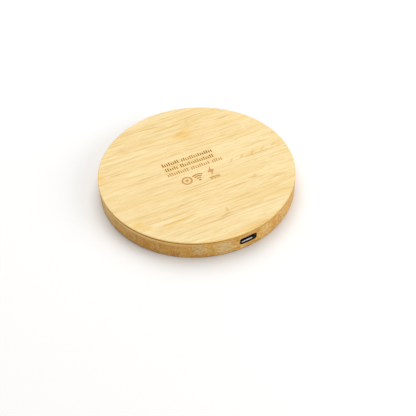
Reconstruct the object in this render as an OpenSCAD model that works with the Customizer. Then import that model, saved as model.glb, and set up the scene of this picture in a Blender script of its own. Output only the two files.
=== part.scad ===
// Round wireless charging pad: a milled wooden cup closed by a glued wooden cover.
// Origin: centre of the charging face, which is the lower face here.
// +Z points to the marked base face, -Y to the USB-C port, +X to the right of the port.

/* [Case] */
// Diameter of the pad
pad_d = 100; // [100:0.5:120]
// Height from the charging face to the base face
pad_h = 10.5; // [10.5:0.1:14]
// Thickness of the base cover
cover_t = 0.8; // [0.7:0.05:1.2]
// Thickness of the wood between the coil and the phone
web_t = 1.8; // [1.2:0.1:1.8]
// Rounding of the charging face's edge
face_round = 0.4; // [0.2:0.1:1]
// Rounding of the base cover's edge
cover_round = 0.4; // [0.2:0.05:0.6]
// Bevel on both sides of the glue line
seam_bevel = 0.15; // [0.05:0.01:0.2]
// Thickness of the adhesive film under the cover
film_t = 0.1; // [0.05:0.01:0.1]
// Distance of the film from the rim
film_inset = 0.3; // [0.1:0.1:1]

/* [Marks] */
// Depth of the engraved marks
mark_depth = 0.15; // [0.05:0.05:0.4]
// Turn of the cover and its marks against the port
cover_turn = -5; // [-20:1:20]
// Width of an engraved tick
tick_w = 0.5; // [0.2:0.02:0.6]
// Distance from tick to tick
tick_pitch = 1.17; // [1:0.01:1.2]
// Height of a tall tick
tick_h = 2.4; // [1.6:0.1:2.6]
// Width of a symbol's line
mark_line = 0.85; // [0.5:0.05:1]
// Distance from row to row
row_pitch = 3.9; // [3:0.1:4.4]

/* [USB port] */
// Width of the receptacle's shell
usb_w = 8.94; // [8.9:0.02:9]
// Height of the receptacle's shell
usb_h = 3.26; // [3.2:0.02:3.3]
// Length of the receptacle's shell
usb_len = 7.35; // [6.8:0.05:7.6]
// Wall thickness of the shell
usb_wall = 0.3; // [0.2:0.05:0.35]
// Depth of the shell's opening
usb_depth = 6.2; // [5.8:0.1:6.4]
// Distance of the shell's mouth from the pad's rim
usb_setback = 0.8; // [0.6:0.1:1.6]
// Gap at each side between the shell and the slot
slot_gap = 0.22; // [0.1:0.02:0.4]
// Gap above and below the shell in the slot
slot_gap_z = 0.37; // [0.1:0.01:0.4]
// Corner radius of the slot
slot_corner = 1.3; // [0.6:0.1:1.6]
// Thickness of the wall that the slot goes through
slot_wall = 2.4; // [2:0.1:3]

/* [Circuit board] */
// Radius of the board
board_r = 43; // [42.5:0.1:43.2]
// Thickness of the board
board_t = 1; // [0.8:0.1:1]
// Width of the board's tab at the port
tab_w = 12; // [11:0.5:13]
// Radius of the board's pocket
board_pocket_r = 45; // [44.8:0.1:45.5]
// Radius of the coil's pocket
coil_pocket_r = 38.5; // [38.3:0.1:38.8]

/* [Coil and ferrite] */
// Diameter of the litz wire
wire_d = 1.08; // [0.9:0.02:1.08]
// Distance from turn to turn
turn_pitch = 1.12; // [1.1:0.01:1.14]
// Turns in each layer
turns = 10; // [8:1:10]
// Radius of the innermost half turn
coil_r = 10.3; // [9:0.1:10.3]
// Thickness of the ferrite
ferrite_t = 2.4; // [2:0.1:2.4]
// Radius of the ferrite
ferrite_r = 25; // [24:0.5:25]
// Thickness of the tapes and of the bond
tape_t = 0.2; // [0.1:0.05:0.2]

/* [Screws] */
// Diameter of the screw's shank and of its pilot hole
screw_d = 1.6; // [1.4:0.1:1.8]
// Length of the screw under its head
screw_len = 5; // [4:0.5:5]
// Diameter of the screw's head
head_d = 3.6; // [3.2:0.1:3.8]
// Height of the screw's head
head_h = 0.9; // [0.7:0.1:1]
// Radius of the circle that the screws stand on
screw_circle_r = 41; // [40.8:0.1:41.1]

/* [Hidden] */
$fn = 96;
eps = 0.01;

pad_r = pad_d / 2;
cover_z = pad_h - cover_t;
body_h = cover_z - film_t;

// The stack, from the web upwards
tape_z = web_t;
coil_z = tape_z + tape_t;
layer_t = 1.1;
bond_z = coil_z + 2 * layer_t;
ferrite_z = bond_z + tape_t;
ferrite_tape_z = ferrite_z + ferrite_t;
board_z = ferrite_tape_z + tape_t;
board_top = board_z + board_t;

// The receptacle hangs under the board, with its mouth behind the rim
port_z = board_z - usb_h / 2;
mouth_y = -(pad_r - usb_setback);
usb_rear_y = mouth_y + usb_len;
slot_w = usb_w + 2 * slot_gap;
slot_h = usb_h + 2 * slot_gap_z;
notch_w = tab_w + 0.8;
notch_y = -(pad_r - slot_wall);
notch_z = port_z - slot_h / 2 - 0.15;
tab_y = notch_y + 0.4;

// Receptacle details
lip_bevel = 0.04;
tongue_w = 6.69;
tongue_t = 0.7;
tongue_setback = 1;
tongue_step_t = 1.3;
tongue_step_len = 1.2;
mid_plate_w = 6.85;
mid_plate_t = 0.15;
plug_len = usb_len - usb_depth;
leg_w = 0.9;
leg_slot_w = 1.3;
leg_slot_t = 0.7;
leg_positions = [1.2, 4.5];
contact_w = 0.25;
contact_t = 0.08;
contact_x = [-2.75, -1.25, -0.75, -0.25, 0.25, 0.75, 1.25, 2.75];
tail_upper = 0.5;
tail_lower = 1.3;
foot_len = 0.5;

// The marks sit in the cover's own turned frame
row_top_y = 9.5;
row_groups = [[8, 15], [6, 16], [10, 9, 5]];
row_x = [-1.1, -1.4, -0.1];
short_tick = 0.7;
ring_d = 5.6;
mark_y = -5.9;

// The coil's leads run on straight until they are clear of the ferrite
coil_outer_x = coil_r + turns * turn_pitch;
lead_clearance = 1.8;
lead_len = sqrt(pow(ferrite_r + lead_clearance, 2) - pow(coil_outer_x, 2));
solder_h = 0.9;

screw_angles = [45, 135, 225, 315];
screw_tip = 0.8;
cross_w = 0.4;
cross_len = 1.8;

// Parts under the board: length, width and height of each package
chip_0603 = [1.6, 0.8, 0.8];
resistor_0603 = [1.6, 0.8, 0.45];
chip_1206 = [3.2, 1.6, 1.6];
resistor_1206 = [3.2, 1.6, 0.6];
chip_1210 = [3.2, 2.5, 2];
mosfet_size = [5, 4, 1.4];
regulator_size = [2.9, 1.6, 1.1];
controller_size = [6, 6, 0.9];
choke_w = 4;
choke_h = 2;
lead_w = 0.4;
lead_t = 0.15;

// A disc with a rounded lower edge and a bevelled upper edge
module pad_disc(r, h, round_r, bevel) {
  translate([0, 0, round_r]) cylinder(r = r, h = h - round_r - bevel);
  cylinder(r = r - round_r, h = round_r + eps);
  translate([0, 0, round_r]) rotate_extrude() translate([r - round_r, 0]) circle(r = round_r);
  translate([0, 0, h - bevel]) cylinder(r1 = r, r2 = r - bevel, h = bevel);
}

module stadium(w, h) {
  square([w - h, h], center = true);
  for (side = [-1, 1]) translate([side * (w - h) / 2, 0]) circle(d = h);
}

module rounded_rectangle(w, h, corner) {
  square([w - 2 * corner, h], center = true);
  square([w, h - 2 * corner], center = true);
  for (x = [-1, 1], y = [-1, 1]) translate([x * (w / 2 - corner), y * (h / 2 - corner)]) circle(r = corner);
}

// Turns a shape drawn looking into the port so that its +Z runs out of the mouth
module at_port(y) {
  translate([0, y, port_z]) rotate([90, 0, 0]) children();
}

module pilot_holes() {
  for (a = screw_angles) rotate([0, 0, a]) translate([screw_circle_r, 0, board_top - screw_len])
    cylinder(d = screw_d, h = screw_len);
}

module body() {
  color("#c39a5c")
  difference() {
    pad_disc(pad_r, body_h, face_round, seam_bevel);
    translate([0, 0, web_t]) cylinder(r = coil_pocket_r, h = body_h);
    translate([0, 0, board_z]) cylinder(r = board_pocket_r, h = body_h);
    translate([-notch_w / 2, notch_y, notch_z]) cube([notch_w, pad_r / 4, body_h]);
    at_port(notch_y + 1) linear_extrude(slot_wall + 2) rounded_rectangle(slot_w, slot_h, slot_corner);
    pilot_holes();
  }
}

// One row of plain upright ticks, in groups with a tick's gap between them
module tick_row(groups, phase) {
  starts = [for (i = 0, s = 0; i < len(groups); s = s + groups[i] + 1, i = i + 1) s];
  count = starts[len(groups) - 1] + groups[len(groups) - 1];
  for (g = [0:len(groups) - 1], i = [0:groups[g] - 1]) {
    place = starts[g] + i;
    tall = (place * 5 + phase) % 7 < 3;
    h = tall ? tick_h : tick_h * short_tick;
    translate([(place - (count - 1) / 2) * tick_pitch - tick_w / 2, -tick_h / 2]) square([tick_w, h]);
  }
}

module ring_mark() {
  difference() {
    circle(d = ring_d);
    circle(d = ring_d - 2 * mark_line);
  }
  circle(d = ring_d * 0.3);
}

module wave_mark() {
  translate([0, -2.1]) {
    circle(d = 1.3);
    for (r = [1.6, 2.95, 4.3]) intersection() {
      difference() {
        circle(r = r + mark_line / 2);
        circle(r = r - mark_line / 2);
      }
      polygon([[0, 0], [-4, 5], [4, 5]]);
    }
  }
}

module bolt_mark() {
  polygon([[0.7, 3.2], [-1.9, -0.5], [-0.25, -0.5], [-0.85, -3.2], [1.9, 0.7], [0.25, 0.7]]);
}

module dash_mark() {
  line = mark_line * 0.65;
  translate([0, 0.45]) square([5.2, line], center = true);
  for (i = [-1, 0, 1]) translate([i * 1.9, -0.45]) square([1.4, line], center = true);
}

module marks() {
  for (i = [0:len(row_groups) - 1]) translate([row_x[i], row_top_y - i * row_pitch])
    tick_row(row_groups[i], i * 2);
  translate([-7.7, mark_y]) ring_mark();
  translate([-1.5, mark_y]) wave_mark();
  translate([6, mark_y + 1.3]) bolt_mark();
  translate([6.1, mark_y - 3.5]) dash_mark();
}

module cover() {
  color("#f6dfa6")
  difference() {
    translate([0, 0, pad_h]) mirror([0, 0, 1]) pad_disc(pad_r, cover_t, cover_round, seam_bevel);
    translate([0, 0, pad_h - mark_depth]) rotate([0, 0, cover_turn])
      linear_extrude(mark_depth + 1) marks();
  }
}

module cover_adhesive() {
  color("#7a5a34")
  translate([0, 0, body_h]) difference() {
    cylinder(r = pad_r - film_inset, h = film_t);
    translate([0, 0, -1]) cylinder(r = board_pocket_r + film_inset, h = film_t + 2);
    translate([-notch_w / 2 - film_inset, notch_y - film_inset, -1])
      cube([notch_w + 2 * film_inset, pad_r / 4, film_t + 2]);
  }
}

// The shell's wall, cut across: outward to the right, towards the mouth upwards
module shell_wall() {
  outer = usb_h / 2;
  inner = outer - usb_wall;
  polygon([
    [inner, 0], [outer, 0],
    [outer, usb_len - lip_bevel], [outer - lip_bevel, usb_len],
    [inner + lip_bevel, usb_len], [inner, usb_len - lip_bevel]
  ]);
}

module shell_legs() {
  for (side = [-1, 1], y = leg_positions)
    translate([side * (usb_w - usb_wall) / 2, (board_top - port_z + 0.3) / 2, y])
      cube([usb_wall, board_top - port_z + 0.3, leg_w], center = true);
}

module usb_shell() {
  flat = usb_w - usb_h;
  color("#b9b9bb")
  at_port(usb_rear_y) {
    for (side = [0, 1]) mirror([side, 0, 0]) {
      translate([flat / 2, 0, 0]) rotate([0, 0, -90]) rotate_extrude(angle = 180) shell_wall();
      mirror([0, side, 0]) translate([-flat / 2, 0, 0]) rotate([90, 0, 90])
        linear_extrude(flat) shell_wall();
    }
    shell_legs();
  }
}

// The tongue's side view: its length to the right, its thickness upwards
module tongue_profile() {
  tip = usb_len - tongue_setback;
  half = tongue_t / 2;
  step = tongue_step_t / 2;
  polygon([
    [plug_len - eps, -step], [plug_len + tongue_step_len, -step], [plug_len + tongue_step_len, -half],
    [tip - 0.3, -half], [tip, -half + 0.15], [tip, half - 0.15], [tip - 0.3, half],
    [plug_len + tongue_step_len, half], [plug_len + tongue_step_len, step], [plug_len - eps, step]
  ]);
}

module usb_insulator() {
  color("#1c1c1e")
  difference() {
    at_port(usb_rear_y) {
      linear_extrude(plug_len) stadium(usb_w - 2 * usb_wall, usb_h - 2 * usb_wall);
      translate([tongue_w / 2, 0, 0]) rotate([0, -90, 0]) linear_extrude(tongue_w) tongue_profile();
    }
    mid_plate();
    contacts();
  }
}

module mid_plate() {
  at_port(usb_rear_y) translate([-mid_plate_w / 2, -mid_plate_t / 2, plug_len])
    cube([mid_plate_w, mid_plate_t, usb_depth - tongue_setback - 0.6]);
}

module usb_mid_plate() {
  color("#a6a6a8") mid_plate();
}

// A contact strip on one side of the tongue, with a tail up to the board behind the shell
module contact(x, side, tail) {
  level = side > 0 ? tongue_t / 2 : -tongue_t / 2 - contact_t;
  strip_end = usb_len - tongue_setback - 0.5;
  rise = board_z - port_z - level;
  translate([x - contact_w / 2, level, -tail]) cube([contact_w, contact_t, strip_end + tail]);
  translate([x - contact_w / 2, level, -tail]) cube([contact_w, rise, contact_t]);
  translate([x - contact_w / 2, level + rise - contact_t, -tail - foot_len])
    cube([contact_w, contact_t, foot_len + eps]);
}

module contacts() {
  at_port(usb_rear_y) for (x = contact_x) {
    contact(x, 1, tail_upper);
    contact(x, -1, tail_lower);
  }
}

module usb_contacts() {
  color("#d9b45a") contacts();
}

module circuit_board() {
  color("#1f6b3a")
  difference() {
    translate([0, 0, board_z]) union() {
      cylinder(r = board_r, h = board_t);
      translate([-tab_w / 2, tab_y, 0]) cube([tab_w, -tab_y - board_r / 2, board_t]);
    }
    for (a = screw_angles) rotate([0, 0, a]) translate([screw_circle_r, 0, board_z - 1])
      cylinder(d = screw_d + 0.6, h = board_t + 2);
    for (side = [-1, 1], y = leg_positions)
      translate([side * (usb_w - usb_wall) / 2, usb_rear_y - y, board_z + board_t / 2])
        cube([leg_slot_t, leg_slot_w, board_t + 1], center = true);
  }
}

// Puts a part on the board's underside, its own +Z pointing away from the board
module under_board(angle, radius, turn = 0) {
  rotate([0, 0, angle]) translate([radius, 0, board_z]) mirror([0, 0, 1]) rotate([0, 0, turn]) children();
}

// A ceramic chip: a body between two slightly larger end caps
module chip(size) {
  cap = size.x / 5;
  step = 0.04;
  translate([-size.x / 2 + cap / 2, -size.y / 2 + step, step])
    cube([size.x - cap, size.y - 2 * step, size.z - 2 * step]);
  for (side = [0, 1]) mirror([side, 0, 0]) translate([size.x / 2 - cap, -size.y / 2, 0])
    cube([cap, size.y, size.z]);
}

// A package with a row of bent leads on each side
module leaded_package(size, leads, pitch, reach) {
  standoff = 0.1;
  translate([-size.x / 2, -size.y / 2, standoff]) cube([size.x, size.y, size.z - standoff]);
  for (side = [0, 1], i = [0:leads - 1]) mirror([0, side, 0])
    translate([(i - (leads - 1) / 2) * pitch - lead_w / 2, size.y / 2 - eps, 0]) {
      cube([lead_w, reach, lead_t]);
      cube([lead_w, reach / 3, size.z / 2]);
    }
}

module controller_ic() {
  corner = controller_size / 2;
  dot_inset = 0.8;
  dot_depth = 0.1;
  color("#242427")
  under_board(180, 32) difference() {
    translate([-corner.x, -corner.y, 0]) cube(controller_size);
    translate([corner.x - dot_inset, corner.y - dot_inset, controller_size.z - dot_depth])
      cylinder(d = 0.7, h = 1);
  }
}

module bridge_mosfets() {
  color("#2a2a2d")
  for (a = [203, 229]) under_board(a, 32, 90) leaded_package(mosfet_size, 4, 1.27, 1);
}

module regulator() {
  color("#2a2a2d") under_board(318, 32) leaded_package(regulator_size, 3, 0.95, 0.6);
}

// A pressed choke: a square block with cut corners and a shallow dish
module filter_inductor() {
  half = choke_w / 2;
  flat = half * 0.65;
  color("#55565a")
  under_board(300, 31.5) difference() {
    linear_extrude(choke_h) polygon([for (s = [-1, 1]) each [
      [s * half, -s * flat], [s * half, s * flat], [s * flat, s * half], [-s * flat, s * half]
    ]]);
    translate([0, 0, choke_h * 0.9]) cylinder(d = choke_w * 0.65, h = choke_h);
  }
}

module input_capacitors() {
  color("#b9925e") for (a = [263, 277]) under_board(a, 33.5) chip(chip_1206);
}

module resonant_capacitors() {
  color("#c9b48a") for (a = [127:8:151]) under_board(a, 32) chip(chip_1210);
}

module chip_capacitors() {
  color("#b9925e") for (a = [166:7:194]) under_board(a, 36.8, 90) chip(chip_0603);
}

module chip_resistors() {
  color("#303033") for (a = [332:6:356]) under_board(a, 30) chip(resistor_0603);
}

module sense_resistor() {
  color("#303033") under_board(247, 31) chip(resistor_1206);
}

module thermistor() {
  color("#4b6f58") under_board(92, 27) chip(chip_0603);
}

// One layer of the winding: half turns whose centres step by half a pitch
module winding_layer() {
  for (k = [0:2 * turns - 1])
    translate([k % 2 * turn_pitch / 2, 0, 0]) rotate([0, 0, k % 2 * 180])
      rotate_extrude(angle = 180) translate([coil_r + k * turn_pitch / 2, 0]) circle(d = wire_d, $fn = 24);
}

// A lead that runs straight on from the outer turn, then up to the board
module coil_lead(z) {
  translate([coil_outer_x, 0, z]) rotate([-90, 0, 0]) cylinder(d = wire_d, h = lead_len);
  translate([coil_outer_x, lead_len, z]) sphere(d = wire_d);
  translate([coil_outer_x, lead_len, z]) cylinder(d = wire_d, h = board_z - z);
}

module coil() {
  lower = coil_z + layer_t / 2;
  upper = lower + layer_t;
  color("#b5652b")
  rotate([0, 0, 180]) {
    translate([0, 0, lower]) winding_layer();
    translate([0, 0, upper]) mirror([0, 1, 0]) winding_layer();
    translate([coil_r, 0, lower]) cylinder(d = wire_d, h = layer_t);
    for (z = [lower, upper]) translate([coil_r, 0, z]) sphere(d = wire_d);
    coil_lead(lower);
    mirror([0, 1, 0]) coil_lead(upper);
  }
}

module solder_joints() {
  color("#c8c8cc")
  for (side = [-1, 1]) translate([-coil_outer_x, side * lead_len, board_z - solder_h]) difference() {
    cylinder(r1 = wire_d / 2 + 0.3, r2 = wire_d / 2 + 1, h = solder_h);
    translate([0, 0, -1]) cylinder(d = wire_d, h = solder_h + 2);
  }
}

module coil_tape() {
  color("#e8e2c8") translate([0, 0, tape_z]) cylinder(r = ferrite_r - 2, h = tape_t);
}

module coil_bond() {
  color("#e8e2c8")
  translate([0, 0, bond_z]) difference() {
    cylinder(r = ferrite_r - 3, h = tape_t);
    translate([0, 0, -1]) cylinder(r = coil_r, h = tape_t + 2);
  }
}

module ferrite_sheet() {
  color("#3c3a3a") translate([0, 0, ferrite_z]) cylinder(r = ferrite_r, h = ferrite_t);
}

module ferrite_tape() {
  color("#e8e2c8") translate([0, 0, ferrite_tape_z]) cylinder(r = ferrite_r - 1, h = tape_t);
}

module board_screws() {
  color("#8d8f93")
  for (a = screw_angles) rotate([0, 0, a]) translate([screw_circle_r, 0, board_top]) difference() {
    union() {
      cylinder(d = head_d, h = head_h / 2);
      translate([0, 0, head_h / 2]) cylinder(d1 = head_d, d2 = head_d * 2 / 3, h = head_h / 2);
      translate([0, 0, screw_tip - screw_len]) cylinder(d = screw_d, h = screw_len - screw_tip);
      translate([0, 0, -screw_len]) cylinder(d1 = screw_d / 3, d2 = screw_d, h = screw_tip);
    }
    for (turn = [0, 90]) rotate([0, 0, turn])
      translate([-cross_len / 2, -cross_w / 2, head_h / 2]) cube([cross_len, cross_w, 1]);
  }
}

body();
cover();
cover_adhesive();
usb_shell();
usb_insulator();
usb_mid_plate();
usb_contacts();
circuit_board();
controller_ic();
bridge_mosfets();
regulator();
filter_inductor();
input_capacitors();
resonant_capacitors();
chip_capacitors();
chip_resistors();
sense_resistor();
thermistor();
solder_joints();
coil();
coil_tape();
coil_bond();
ferrite_sheet();
ferrite_tape();
board_screws();
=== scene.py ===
"""Looks of the round bamboo charging pad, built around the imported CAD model."""

import math

import bpy
from mathutils import Matrix, Vector

MM = 0.001

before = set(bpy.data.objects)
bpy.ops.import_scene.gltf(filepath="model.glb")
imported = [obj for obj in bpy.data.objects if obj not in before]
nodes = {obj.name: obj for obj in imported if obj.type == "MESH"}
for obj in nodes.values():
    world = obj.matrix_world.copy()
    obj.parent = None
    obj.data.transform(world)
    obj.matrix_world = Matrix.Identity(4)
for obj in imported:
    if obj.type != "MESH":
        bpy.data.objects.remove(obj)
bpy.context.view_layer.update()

# Sizes of the CAD model that the materials follow, in millimetres
PAD_R = 50.0
PAD_H = 10.5
# Height of the cover's lower face
SEAM_Z = 9.70
# Height of the port's middle, place of its mouth, and half length of its shell's flat sides
PORT_Z = 5.37
MOUTH_Y = -49.2
SHELL_STRAIGHT = 2.84
# Height of the board's lower face, which carries the chips
BOARD_Z = 7.0
SCREW_CIRCLE_R = 41.0
# Radius of the coil's innermost half turn, and distance from turn to turn
COIL_R = 10.3
TURN_PITCH = 1.12
# Heights of the wire's middle in the two layers, and of the plane between them
LAYER_Z = (2.55, 3.65)
LAYERS_MEET = 3.1
# Radius beyond which there are only the coil's leads, and their distance from the axis
WINDING_R = 22.05
LEAD_X = 21.5
FERRITE_R = 25.0
# Turn of the engraved marks against the port, in degrees
COVER_TURN = -5.0

# Turn of the cover's grain, in degrees, and pitch of the thread that the screws show
GRAIN_TURN = -4.5
THREAD_PITCH = 0.6


class Graph:
    """A material and its node tree, with a short method for each kind of node."""

    def __init__(self, name):
        self.material = bpy.data.materials.new(name)
        self.material.use_nodes = True
        self.tree = self.material.node_tree
        self.tree.nodes.clear()
        self.output = self.node("ShaderNodeOutputMaterial")
        self.place = self.node("ShaderNodeTexCoord").outputs["Object"]

    def node(self, kind, **settings):
        made = self.tree.nodes.new(kind)
        for key, value in settings.items():
            setattr(made, key, value)
        return made

    def put(self, value, socket):
        """Links a socket, or sets a plain value."""
        if isinstance(value, bpy.types.NodeSocket):
            self.tree.links.new(value, socket)
        else:
            socket.default_value = value

    def math(self, operation, *values):
        made = self.node("ShaderNodeMath", operation=operation)
        for value, socket in zip(values, made.inputs):
            self.put(value, socket)
        return made.outputs[0]

    def total(self, *values):
        result = values[0]
        for value in values[1:]:
            result = self.math("ADD", result, value)
        return result

    def product(self, *values):
        result = values[0]
        for value in values[1:]:
            result = self.math("MULTIPLY", result, value)
        return result

    def apart(self, a, b):
        """How far two values are apart."""
        return self.math("ABSOLUTE", self.math("SUBTRACT", a, b))

    def vector(self, operation, *values):
        made = self.node("ShaderNodeVectorMath", operation=operation)
        for value, socket in zip(values, made.inputs):
            self.put(value, socket)
        return made.outputs["Value" if operation == "LENGTH" else "Vector"]

    def mapped(self, place, scale=(1, 1, 1), turn=0.0, shift=(0, 0, 0), kind="POINT"):
        """Turns about Z, in degrees. Kind TEXTURE moves and scales the pattern, not the point."""
        made = self.node("ShaderNodeMapping", vector_type=kind)
        self.put(place, made.inputs["Vector"])
        made.inputs["Location"].default_value = shift
        made.inputs["Rotation"].default_value = (0, 0, math.radians(turn))
        made.inputs["Scale"].default_value = scale
        return made.outputs["Vector"]

    def parts(self, place):
        made = self.node("ShaderNodeSeparateXYZ")
        self.put(place, made.inputs[0])
        return made.outputs

    def joined(self, x, y, z):
        made = self.node("ShaderNodeCombineXYZ")
        for value, socket in zip((x, y, z), made.inputs):
            self.put(value, socket)
        return made.outputs[0]

    def noise(self, place, size, detail=2.0, rough=0.5, seed=0.0, out="Fac"):
        """Noise whose features are size metres long in X, Y and Z."""
        if not hasattr(size, "__len__"):
            size = (size, size, size)
        scale = [1 / s for s in size]
        spot = self.mapped(place, scale=scale, shift=(seed, seed * 0.7, seed * 1.3))
        made = self.node("ShaderNodeTexNoise")
        self.put(spot, made.inputs["Vector"])
        made.inputs["Scale"].default_value = 1.0
        made.inputs["Detail"].default_value = detail
        made.inputs["Roughness"].default_value = rough
        return made.outputs[out]

    def cells(self, place, size, feature="F1", seed=0.0):
        """Distance in a pattern of cells that are size metres wide in X, Y and Z."""
        if not hasattr(size, "__len__"):
            size = (size, size, size)
        spot = self.mapped(place, scale=[1 / s for s in size], shift=(seed, seed, seed))
        made = self.node("ShaderNodeTexVoronoi", feature=feature)
        self.put(spot, made.inputs["Vector"])
        made.inputs["Scale"].default_value = 1.0
        return made.outputs["Distance"]

    def smooth(self, value, low, high, start=0.0, end=1.0, kind="SMOOTHSTEP"):
        """Goes from start to end as the value goes from low to high."""
        made = self.node("ShaderNodeMapRange", interpolation_type=kind)
        for given, socket in zip((value, low, high, start, end), made.inputs):
            self.put(given, socket)
        return made.outputs[0]

    def fade(self, value, low, high, start=0.0, end=1.0, kind="SMOOTHSTEP"):
        """Smooth, with low and high in millimetres."""
        return self.smooth(value, low * MM, high * MM, start, end, kind)

    def mix(self, factor, a, b):
        made = self.node("ShaderNodeMix", data_type="RGBA", blend_type="MIX")
        self.put(factor, made.inputs[0])
        self.put(rgba(a), made.inputs[6])
        self.put(rgba(b), made.inputs[7])
        return made.outputs[2]

    def bump(self, height, depth, strength=1.0):
        """Bump from a height of 0 to 1 that stands for depth metres."""
        made = self.node("ShaderNodeBump")
        made.inputs["Strength"].default_value = strength
        made.inputs["Distance"].default_value = depth
        self.put(height, made.inputs["Height"])
        return made.outputs[0]

    def finish(self, colour, roughness, normal=None, **others):
        """Closes the tree with one shader; other sockets go by name, with _ for a space."""
        shader = self.node("ShaderNodeBsdfPrincipled")
        self.put(rgba(colour), shader.inputs["Base Color"])
        self.put(roughness, shader.inputs["Roughness"])
        if normal is not None:
            self.put(normal, shader.inputs["Normal"])
        for key, value in others.items():
            self.put(value, shader.inputs[key.replace("_", " ")])
        self.put(shader.outputs[0], self.output.inputs["Surface"])
        return self.material


def rgba(colour):
    """A socket as it is, or a colour with its alpha."""
    if isinstance(colour, bpy.types.NodeSocket):
        return colour
    return (*colour, 1.0) if len(colour) == 3 else tuple(colour)


# Wood -----------------------------------------------------------------------------------------

# Long darker streaks of the base cover: middle x, y, half length, half width, turn, depth
COVER_STREAKS = [
    (-10, 40.4, 14, 0.75, -4.0, 0.95),
    (14, 39.7, 13, 0.75, 0.5, 1.0),
    (5, 42.6, 14, 0.6, 0.0, 0.5),
    (-1, 45.2, 10, 0.6, 0.0, 0.6),
    (-7, 33.4, 26, 0.9, -2.5, 0.5),
    (30, 31.3, 7, 0.9, 1.0, 1.0),
    (7, 28.2, 14, 0.9, -1.5, 0.6),
    (-3, 23.5, 22, 1.0, 0.6, 0.6),
    (-30, 22.1, 13, 0.7, -1.5, 0.85),
    (29, 21.9, 13, 0.8, 4.0, 0.6),
    (-14, 15.0, 20, 0.6, -1.5, 0.7),
    (-37, 14.2, 9, 0.7, -2.5, 0.8),
    (25, 14.0, 13, 0.8, 5.0, 0.6),
    (-25, 5.3, 13, 0.7, 2.3, 0.95),
    (34, 5.3, 14, 0.7, -4.5, 0.6),
    (-28, -2.9, 13, 0.6, 0.5, 0.75),
    (32, -3.2, 17, 0.75, 0.4, 0.9),
    (-7, -12.4, 17, 0.5, -0.3, 0.65),
    (-28, -20.4, 13, 0.6, 1.5, 0.6),
    (-14, -20.1, 11, 0.7, 1.8, 0.95),
    (12, -19.5, 13, 0.75, -0.5, 1.0),
    (21, -17.6, 9, 0.5, -2.0, 0.5),
    (38, -20.2, 6, 0.6, -5.0, 0.5),
    (-23, -28.4, 16, 0.8, 0.0, 1.0),
    (14, -29.2, 15, 0.55, 0.6, 0.65),
    (31, -28.4, 10, 0.6, 5.0, 0.55),
    (-2, -26.7, 9, 0.5, -8.0, 0.45),
    (-3, -37.1, 13, 0.7, 0.0, 0.9),
    (2, -35.4, 8, 0.5, -1.0, 0.7),
    (22, -36.5, 9, 0.6, 0.8, 0.55),
    (-16, -40.4, 9, 0.6, 1.5, 0.7),
]
# Golden stains at the growth nodes of the bamboo: middle x, y, half length, half width, turn, depth
COVER_STAINS = [
    (4.2, 28.6, 8.6, 4.0, 6, 1.0),
    (5.6, 25.6, 6.5, 2.6, 12, 0.9),
    (8.5, 31.8, 7.0, 3.0, 10, 0.6),
    (-41.0, -23.4, 5.0, 4.0, 6, 0.8),
    (-38.0, -26.9, 5.5, 2.6, -10, 0.65),
    (3.0, -48.4, 14.0, 2.0, 0, 0.5),
    (46.0, -1.2, 4.0, 3.0, 0, 0.8),
    (32.0, -1.5, 16.0, 2.6, 0, 0.45),
    (-46.0, 16.0, 3.5, 5.0, 0, 0.7),
    (-23.0, -28.8, 16.0, 1.5, 0, 0.9),
]
# Brown flecks at the growth nodes: middle x, y, half length, half width, turn, depth
COVER_NODES = [
    (2.5, 29.4, 5.0, 1.3, 10, 0.7),
    (5.8, 25.8, 3.0, 0.9, 20, 0.6),
    (10.5, 36.5, 1.2, 5.0, -16, 0.45),
    (1.3, -32.8, 0.85, 3.2, -6, 1.0),
    (-0.4, -35.6, 4.4, 1.1, 8, 1.0),
    (24.5, -18.8, 4.4, 1.1, -14, 1.0),
    (24.3, -17.4, 0.8, 1.6, 10, 0.7),
    (18.5, -2.4, 3.0, 0.9, 40, 0.8),
    (25.0, -2.0, 3.0, 0.9, 42, 0.95),
    (31.0, -1.8, 3.0, 0.9, 42, 0.95),
    (37.0, -1.5, 3.0, 0.9, 40, 0.95),
    (43.5, -1.0, 3.0, 0.9, 36, 0.8),
    (36.0, -4.0, 13.0, 0.7, 0, 0.6),
]
# Patches on the side wall of the body: azimuth, height, half width, half height, colour, strength
WALL_PATCHES = [
    (-180, 5.0, 10.0, 8.0, (0.80, 0.52, 0.18), 0.9),
    (-164, 5.0, 4.0, 6.0, (0.66, 0.40, 0.115), 0.7),
    (-148, 5.0, 4.5, 6.0, (0.54, 0.245, 0.025), 0.9),
    (-157, 4.0, 3.0, 5.0, (0.60, 0.36, 0.105), 0.8),
    (-131, 2.2, 3.6, 2.8, (0.45, 0.175, 0.03), 0.85),
    (-139, 6.0, 3.5, 5.0, (0.50, 0.245, 0.035), 0.7),
    (-154, 4.5, 0.7, 5.0, (0.36, 0.160, 0.020), 0.7),
    (-142.5, 4.5, 0.7, 5.0, (0.36, 0.160, 0.020), 0.7),
    (-118, 6.0, 5.5, 6.0, (0.59, 0.415, 0.19), 0.9),
    (-104, 5.0, 7.5, 6.5, (0.67, 0.495, 0.23), 1.0),
    (-93, 2.5, 3.0, 3.0, (0.76, 0.53, 0.20), 0.7),
    (-78, 6.0, 5.5, 6.0, (0.69, 0.470, 0.175), 0.9),
    (-63, 4.5, 6.5, 6.0, (0.60, 0.385, 0.120), 0.9),
    (-46, 5.0, 8.0, 6.0, (0.63, 0.375, 0.095), 0.85),
    (-22, 5.0, 7.0, 6.0, (0.66, 0.38, 0.09), 0.8),
    (40, 5.0, 9.0, 5.0, (0.70, 0.46, 0.15), 0.7),
    (95, 4.0, 7.0, 5.0, (0.56, 0.27, 0.04), 0.8),
    (150, 6.0, 8.0, 5.0, (0.68, 0.44, 0.14), 0.8),
]


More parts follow.
